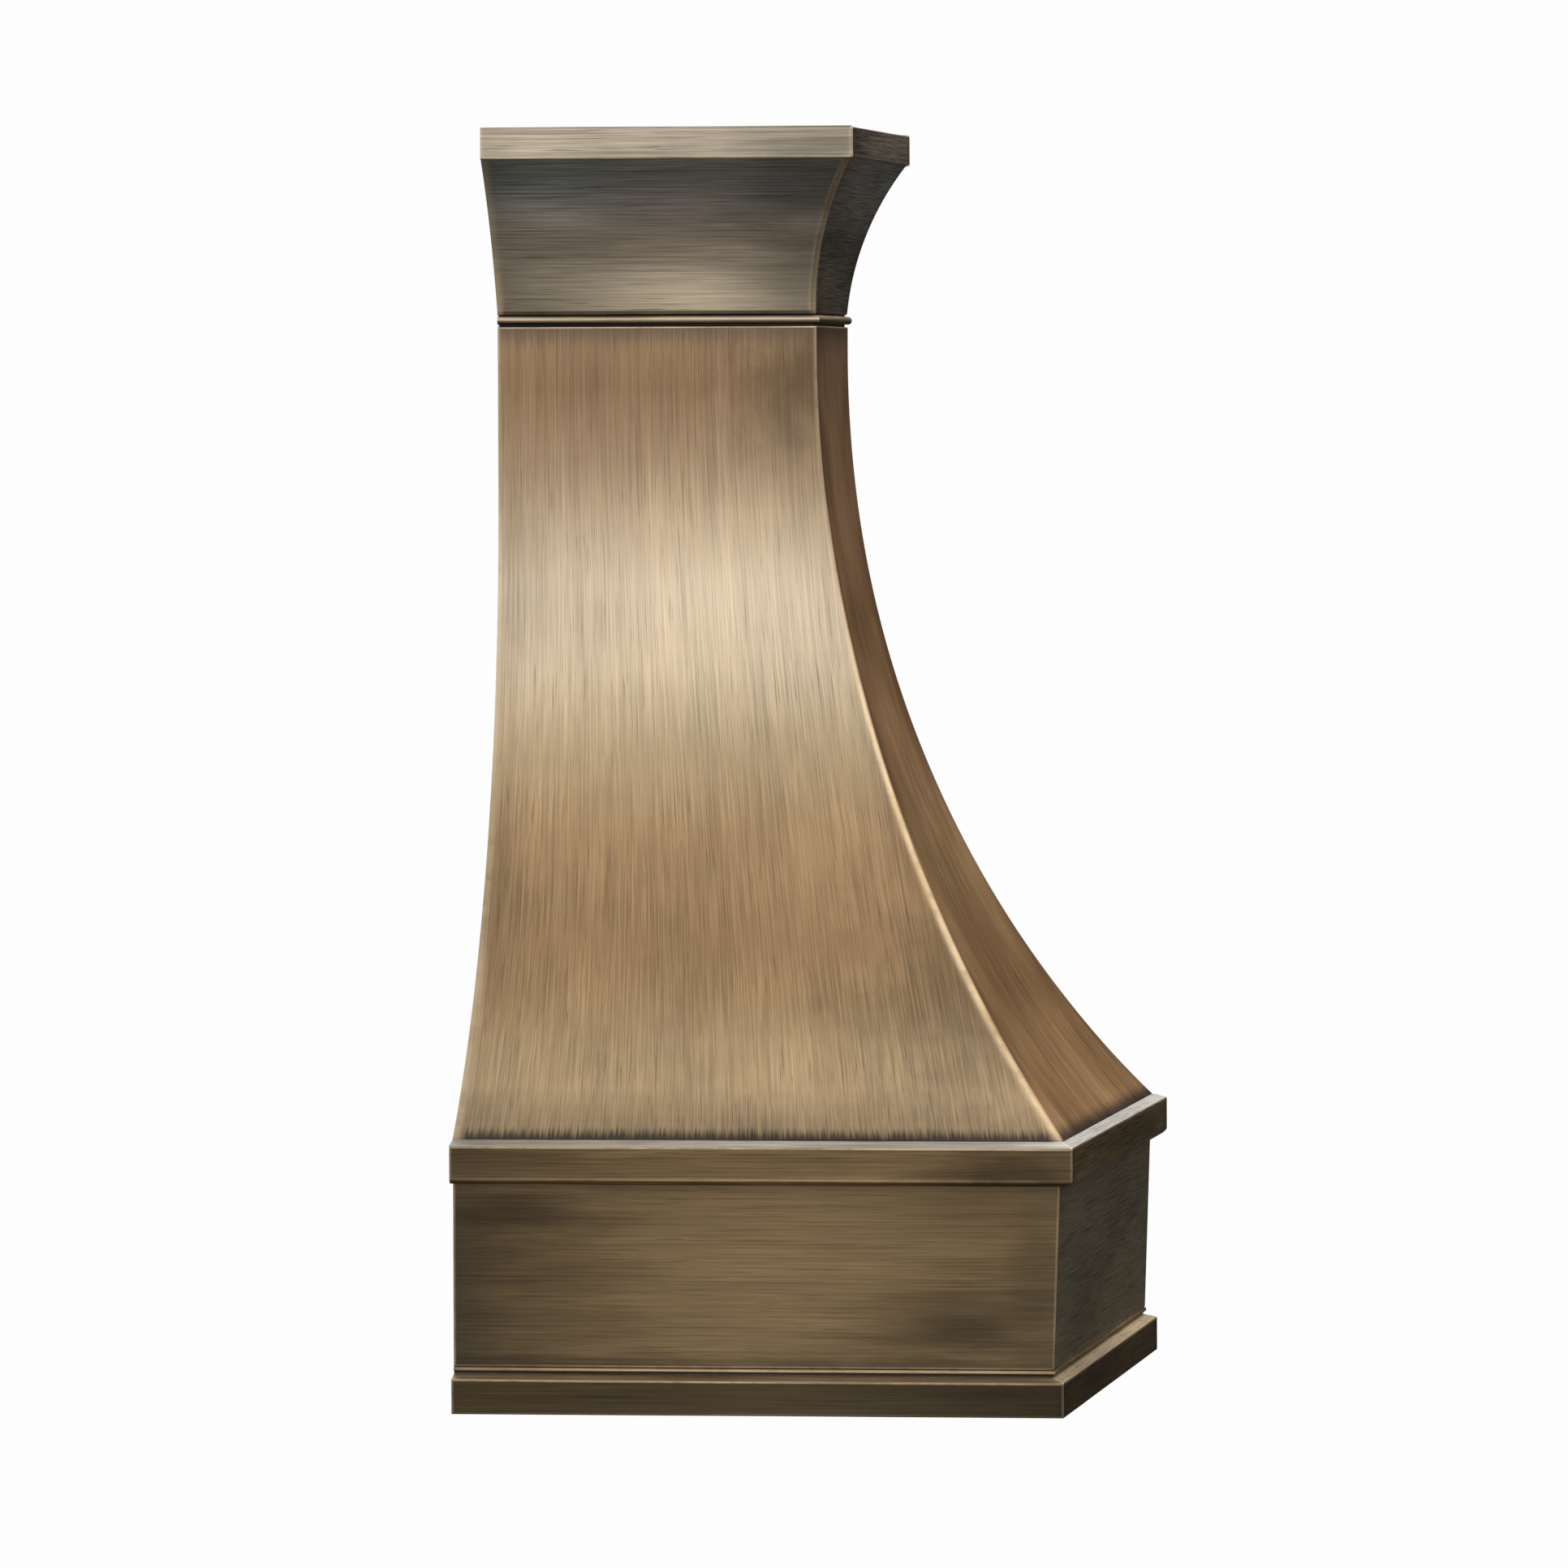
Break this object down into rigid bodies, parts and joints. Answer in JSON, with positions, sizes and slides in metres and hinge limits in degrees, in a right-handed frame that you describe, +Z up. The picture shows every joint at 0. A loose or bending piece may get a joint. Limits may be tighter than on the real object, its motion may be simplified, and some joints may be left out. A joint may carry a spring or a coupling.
{
  "type": "wall range hood",
  "caption": "Wall-mounted kitchen range hood with a bell-swept antique brass shell, coved crown, ledge and base trim, baffle filters, lamps, turning controls, blower and damper.",
  "frame": {"origin": "middle of the wall face's bottom edge: on the wall plane, at the floor of the base trim, midway between the sides", "axes": "+X along the width, to the right when facing the hood; +Y into the wall; +Z up"},
  "size_m": [0.914, 0.61, 1.255],
  "materials": {
    "brass_shell": "brushed antique brass with worn bright edges",
    "brass_bead": "brushed antique brass",
    "galvanised_steel": "galvanised sheet",
    "stainless": "brushed stainless",
    "bright_steel": "plain bright steel",
    "flap_aluminium": "mill",
    "lens_glass": "frosted",
    "black_plastic": "satin moulded",
    "motor_paint": "satin"
  },
  "bodies": {
    "hood": {"back_panel": "galvanised_steel", "base_bead": "brass_bead", "base_frame": "galvanised_steel", "body_front": "brass_shell", "body_left": "brass_shell", "body_right": "brass_shell", "conduit_bushing": "galvanised_steel", "control_pots": "black_plastic", "crown_front": "brass_shell", "crown_left": "brass_shell", "crown_right": "brass_shell", "damper_collar": "galvanised_steel", "damper_rod": "bright_steel", "filter_clips": "stainless", "hang_rails": "galvanised_steel", "inlet_rings": "galvanised_steel", "lamp_bezels": "stainless", "lamp_lenses": "lens_glass", "lamp_pucks": "black_plastic", "ledge_front": "brass_shell", "ledge_left": "brass_shell", "ledge_right": "brass_shell", "liner_face": "stainless", "liner_screws": "bright_steel", "motor_can": "motor_paint", "motor_spider": "galvanised_steel", "neck_bead": "brass_bead", "plenum": "galvanised_steel", "scroll_cheeks": "galvanised_steel", "scroll_wrap": "galvanised_steel", "skirt_front": "brass_shell", "skirt_left": "brass_shell", "skirt_right": "brass_shell", "supply_box": "galvanised_steel", "supply_lid": "galvanised_steel", "trim_front": "brass_shell", "trim_left": "brass_shell", "trim_right": "brass_shell", "wall_ties": "galvanised_steel"},
    "filter_left": {"filter_frame_left": "stainless", "filter_baffles_left": "stainless", "filter_pins_left": "stainless", "bail_lugs_left": "stainless"},
    "filter_right": {"filter_frame_right": "stainless", "filter_baffles_right": "stainless", "filter_pins_right": "stainless", "bail_lugs_right": "stainless"},
    "bail_left": {"bail_left": "stainless"},
    "bail_right": {"bail_right": "stainless"},
    "knob_fan": {"knob_fan": "black_plastic", "stem_fan": "bright_steel"},
    "knob_light": {"knob_light": "black_plastic", "stem_light": "bright_steel"},
    "impeller": {"impeller_cage": "galvanised_steel", "impeller_disc": "galvanised_steel", "motor_shaft": "bright_steel"},
    "flap_front": {"flap_front": "flap_aluminium"},
    "flap_rear": {"flap_rear": "flap_aluminium"}
  },
  "joints": [
    {"name": "filter_left_hinge", "type": "hinge", "parent": "hood", "child": "filter_left", "pos_m": [-0.194, -0.078, 0.044], "axis": [1, 0, 0], "range_deg": [0, 85]},
    {"name": "bail_left_hinge", "type": "hinge", "parent": "filter_left", "child": "bail_left", "pos_m": [-0.194, -0.385, 0.0355], "axis": [-1, 0, 0], "range_deg": [0, 90]},
    {"name": "filter_right_hinge", "type": "hinge", "parent": "hood", "child": "filter_right", "pos_m": [0.194, -0.078, 0.044], "axis": [1, 0, 0], "range_deg": [0, 85]},
    {"name": "bail_right_hinge", "type": "hinge", "parent": "filter_right", "child": "bail_right", "pos_m": [0.194, -0.385, 0.0355], "axis": [-1, 0, 0], "range_deg": [0, 90]},
    {"name": "fan_knob_turn", "type": "hinge", "parent": "hood", "child": "knob_fan", "pos_m": [-0.06, -0.49, 0.025], "axis": [0, 0, -1], "range_deg": [0, 270]},
    {"name": "light_knob_turn", "type": "hinge", "parent": "hood", "child": "knob_light", "pos_m": [0.06, -0.49, 0.025], "axis": [0, 0, -1], "range_deg": [0, 270]},
    {"name": "impeller_spin", "type": "hinge", "parent": "hood", "child": "impeller", "pos_m": [0, -0.215, 0.395], "axis": [1, 0, 0], "continuous": true},
    {"name": "flap_front_hinge", "type": "hinge", "parent": "hood", "child": "flap_front", "pos_m": [0, -0.165, 0.622], "axis": [-1, 0, 0], "range_deg": [0, 75]},
    {"name": "flap_rear_hinge", "type": "hinge", "parent": "hood", "child": "flap_rear", "pos_m": [0, -0.165, 0.622], "axis": [1, 0, 0], "range_deg": [0, 75]}
  ]
}
